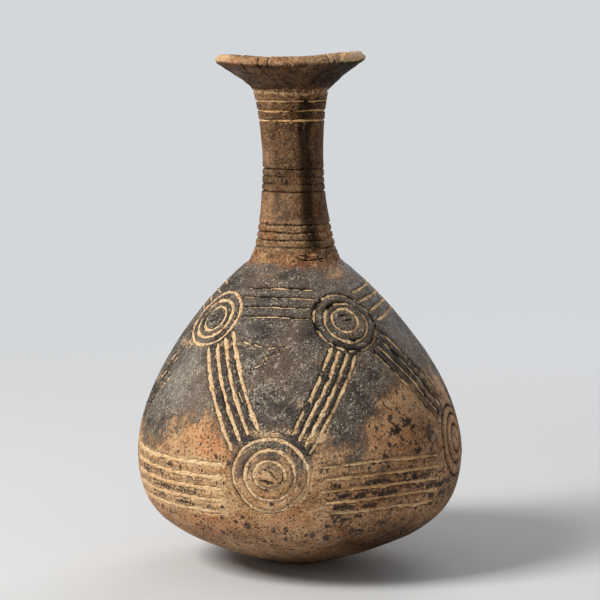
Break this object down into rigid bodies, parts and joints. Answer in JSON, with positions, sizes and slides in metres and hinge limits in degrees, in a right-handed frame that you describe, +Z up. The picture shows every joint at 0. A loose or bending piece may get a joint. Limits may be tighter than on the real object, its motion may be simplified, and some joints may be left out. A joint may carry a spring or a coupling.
{
  "type": "pottery bottle",
  "caption": "Hand-built round-bodied clay bottle with a long narrow neck, a flared mouth and lime-filled cut rings, rays and level lines.",
  "frame": {"origin": "centre of the small flat that the bottle stands on", "axes": "+Z up along the bottle; -Y is the side the picture shows; +X is to the right in the picture"},
  "size_m": [0.1032, 0.103, 0.1623],
  "materials": {
    "fired_clay": "burnished unglazed earthenware, charcoal grey above, buff and orange below, speckled and worn",
    "lute_clay": "rough crumbled orange-brown clay",
    "lime_inlay": "chalky cream lime filling, patchy and rough"
  },
  "bodies": {
    "root": {"base_bowl": "fired_clay", "belly_wall": "fired_clay", "shoulder_wall": "fired_clay", "neck_lute": "lute_clay", "neck_tube": "fired_clay", "mouth_flare": "fired_clay", "lime_collar_ring_1": "lime_inlay", "lime_collar_ring_2": "lime_inlay", "lime_collar_ring_3": "lime_inlay", "lime_belly_front_outer_ring": "lime_inlay", "lime_belly_front_middle_ring": "lime_inlay", "lime_belly_front_inner_ring": "lime_inlay", "lime_belly_back_outer_ring": "lime_inlay", "lime_belly_back_middle_ring": "lime_inlay", "lime_belly_back_inner_ring": "lime_inlay", "lime_belly_left_outer_ring": "lime_inlay", "lime_belly_left_middle_ring": "lime_inlay", "lime_belly_left_inner_ring": "lime_inlay", "lime_shoulder_front_left_outer_ring_and_rays": "lime_inlay", "lime_shoulder_front_left_middle_ring": "lime_inlay", "lime_shoulder_front_left_inner_ring": "lime_inlay", "lime_shoulder_front_right_outer_ring_and_rays": "lime_inlay", "lime_shoulder_front_right_middle_ring": "lime_inlay", "lime_shoulder_front_right_inner_ring": "lime_inlay", "lime_shoulder_back_right_outer_ring_and_rays": "lime_inlay", "lime_shoulder_back_right_middle_ring": "lime_inlay", "lime_shoulder_back_right_inner_ring": "lime_inlay", "lime_shoulder_back_left_outer_ring_and_rays": "lime_inlay", "lime_shoulder_back_left_middle_ring": "lime_inlay", "lime_shoulder_back_left_inner_ring": "lime_inlay", "lime_belly_line_1_right_of_front": "lime_inlay", "lime_belly_line_1_right_of_right": "lime_inlay", "lime_belly_line_1_right_of_back": "lime_inlay", "lime_belly_line_1_right_of_left": "lime_inlay", "lime_belly_line_2_right_of_front": "lime_inlay", "lime_belly_line_2_right_of_right": "lime_inlay", "lime_belly_line_2_right_of_back": "lime_inlay", "lime_belly_line_2_right_of_left": "lime_inlay", "lime_belly_line_3_right_of_front": "lime_inlay", "lime_belly_line_3_right_of_right": "lime_inlay", "lime_belly_line_3_right_of_back": "lime_inlay", "lime_belly_line_3_right_of_left": "lime_inlay", "lime_belly_line_4_right_of_front": "lime_inlay", "lime_belly_line_4_right_of_right": "lime_inlay", "lime_belly_line_4_right_of_back": "lime_inlay", "lime_belly_line_4_right_of_left": "lime_inlay", "lime_belly_line_5_right_of_front": "lime_inlay", "lime_belly_line_5_right_of_right": "lime_inlay", "lime_belly_line_5_right_of_back": "lime_inlay", "lime_belly_line_5_right_of_left": "lime_inlay"}
  },
  "joints": []
}
